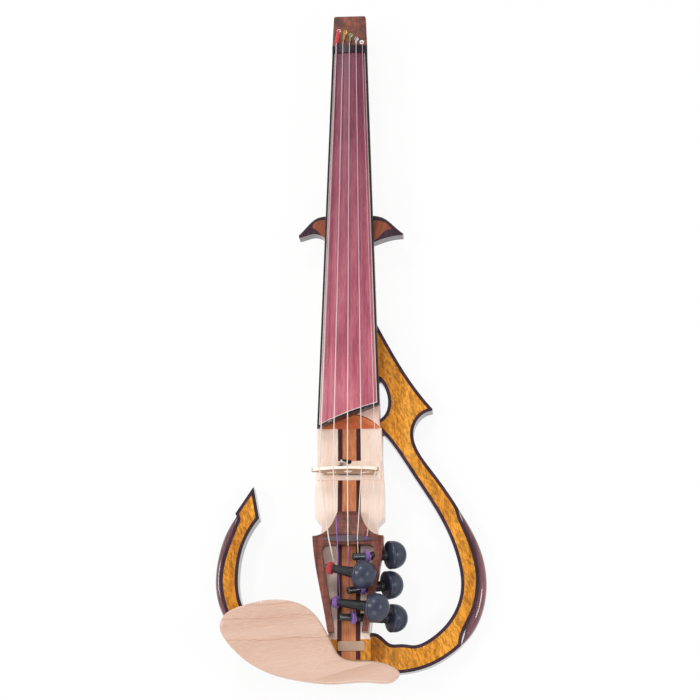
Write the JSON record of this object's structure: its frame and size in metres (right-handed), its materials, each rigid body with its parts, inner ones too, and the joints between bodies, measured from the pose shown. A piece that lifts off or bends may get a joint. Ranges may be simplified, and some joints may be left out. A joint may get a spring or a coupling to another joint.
{
  "type": "electric violin",
  "caption": "Headless five-string electric violin: laminated beam, open wooden side arms, chin rest, fretless board, bridge, and geared tuning pegs at the tail.",
  "frame": {"origin": "on the flat back, straight below the top of the bridge, on the centre line", "axes": "+X to the right seen from the front (side of the peg knobs), +Y along the strings towards the head, +Z from the back to the strings"},
  "size_m": [0.2019, 0.5162, 0.0561],
  "materials": {
    "maple": "satin",
    "dark_stripe": "satin",
    "core_wood": "satin",
    "figured_wood": "gloss",
    "dark_edging": "gloss",
    "moulding_wood": "gloss",
    "walnut": "satin",
    "purpleheart": "satin",
    "ebony": "gloss",
    "cream_line": "satin",
    "wing_wood": "gloss",
    "bridge_maple": "satin",
    "cork": "matt",
    "string_metal": "satin",
    "string_silk": "matt",
    "ball_metal": "polished",
    "peg_black": "gloss",
    "post_metal": "anodised",
    "casing_metal": "anodised",
    "steel": "brushed",
    "jack_metal": "polished",
    "pickup_body": "matt",
    "lead_rubber": "matt",
    "plate": "satin"
  },
  "bodies": {
    "instrument": {"ball_ends": "ball_metal", "beam_core": "core_wood", "beam_side_left": "maple", "beam_side_right": "maple", "beam_stripes": "dark_stripe", "bridge": "bridge_maple", "bridge_base": "maple", "chin_rest": "maple", "chin_rest_cork": "cork", "chin_rest_post": "maple", "chin_rest_screws": "steel", "edge_moulding_left": "moulding_wood", "edge_moulding_right": "moulding_wood", "fingerboard": "purpleheart", "fingerboard_binding": "ebony", "fingerboard_purfling": "cream_line", "frame_right": "figured_wood", "frame_right_edging": "dark_edging", "hand_stop_edging": "dark_edging", "hand_stop_left": "wing_wood", "hand_stop_right": "wing_wood", "head_cap": "walnut", "horn_left": "figured_wood", "horn_left_edging": "dark_edging", "name_plate": "plate", "neck_shim": "core_wood", "nut": "ebony", "output_jack": "jack_metal", "peg_brackets": "steel", "peg_casings": "casing_metal", "peg_frame": "walnut", "pickup": "pickup_body", "pickup_lead": "lead_rubber", "saddle": "ebony", "string_a": "string_metal", "string_c": "string_metal", "string_d": "string_metal", "string_e": "string_metal", "string_g": "string_metal", "tail_blocks": "core_wood"},
    "knob_c": {"peg_head_c": "peg_black"},
    "post_c": {"peg_post_c": "post_metal", "peg_winding_c": "string_silk"},
    "knob_g": {"peg_head_g": "peg_black"},
    "post_g": {"peg_post_g": "post_metal", "peg_winding_g": "string_silk"},
    "knob_d": {"peg_head_d": "peg_black"},
    "post_d": {"peg_post_d": "post_metal", "peg_winding_d": "string_silk"},
    "knob_a": {"peg_head_a": "peg_black"},
    "post_a": {"peg_post_a": "post_metal", "peg_winding_a": "string_silk"},
    "knob_e": {"peg_head_e": "peg_black"},
    "post_e": {"peg_post_e": "post_metal", "peg_winding_e": "string_silk"}
  },
  "joints": [
    {"name": "knob_c_turn", "type": "hinge", "parent": "instrument", "child": "knob_c", "pos_m": [0.0089, -0.0787, 0.045], "axis": [-0.8969, 0.2334, -0.3755], "continuous": true},
    {"name": "post_c_turn", "type": "hinge", "parent": "instrument", "child": "post_c", "pos_m": [0.0089, -0.0787, 0.045], "axis": [-0.8969, 0.2334, -0.3755], "continuous": true},
    {"name": "knob_g_turn", "type": "hinge", "parent": "instrument", "child": "knob_g", "pos_m": [0.0183, -0.1027, 0.043], "axis": [-0.9076, 0.1707, -0.3834], "continuous": true},
    {"name": "post_g_turn", "type": "hinge", "parent": "instrument", "child": "post_g", "pos_m": [0.0183, -0.1027, 0.043], "axis": [-0.9076, 0.1707, -0.3834], "continuous": true},
    {"name": "knob_d_turn", "type": "hinge", "parent": "instrument", "child": "knob_d", "pos_m": [0.0302, -0.1081, 0.0185], "axis": [-0.8956, -0.0271, 0.4441], "continuous": true},
    {"name": "post_d_turn", "type": "hinge", "parent": "instrument", "child": "post_d", "pos_m": [0.0302, -0.1081, 0.0185], "axis": [-0.8956, -0.0271, 0.4441], "continuous": true},
    {"name": "knob_a_turn", "type": "hinge", "parent": "instrument", "child": "knob_a", "pos_m": [0.0273, -0.0845, 0.0227], "axis": [-0.8844, -0.1756, 0.4324], "continuous": true},
    {"name": "post_a_turn", "type": "hinge", "parent": "instrument", "child": "post_a", "pos_m": [0.0273, -0.0845, 0.0227], "axis": [-0.8844, -0.1756, 0.4324], "continuous": true},
    {"name": "knob_e_turn", "type": "hinge", "parent": "instrument", "child": "knob_e", "pos_m": [0.0298, -0.0627, 0.0271], "axis": [-0.8926, -0.1011, 0.4393], "continuous": true},
    {"name": "post_e_turn", "type": "hinge", "parent": "instrument", "child": "post_e", "pos_m": [0.0298, -0.0627, 0.0271], "axis": [-0.8926, -0.1011, 0.4393], "continuous": true}
  ],
  "couplings": [
    {"joint": "post_c_turn", "follows": "knob_c_turn", "ratio": 0.25},
    {"joint": "post_g_turn", "follows": "knob_g_turn", "ratio": 0.25},
    {"joint": "post_d_turn", "follows": "knob_d_turn", "ratio": 0.25},
    {"joint": "post_a_turn", "follows": "knob_a_turn", "ratio": 0.25},
    {"joint": "post_e_turn", "follows": "knob_e_turn", "ratio": 0.25}
  ]
}
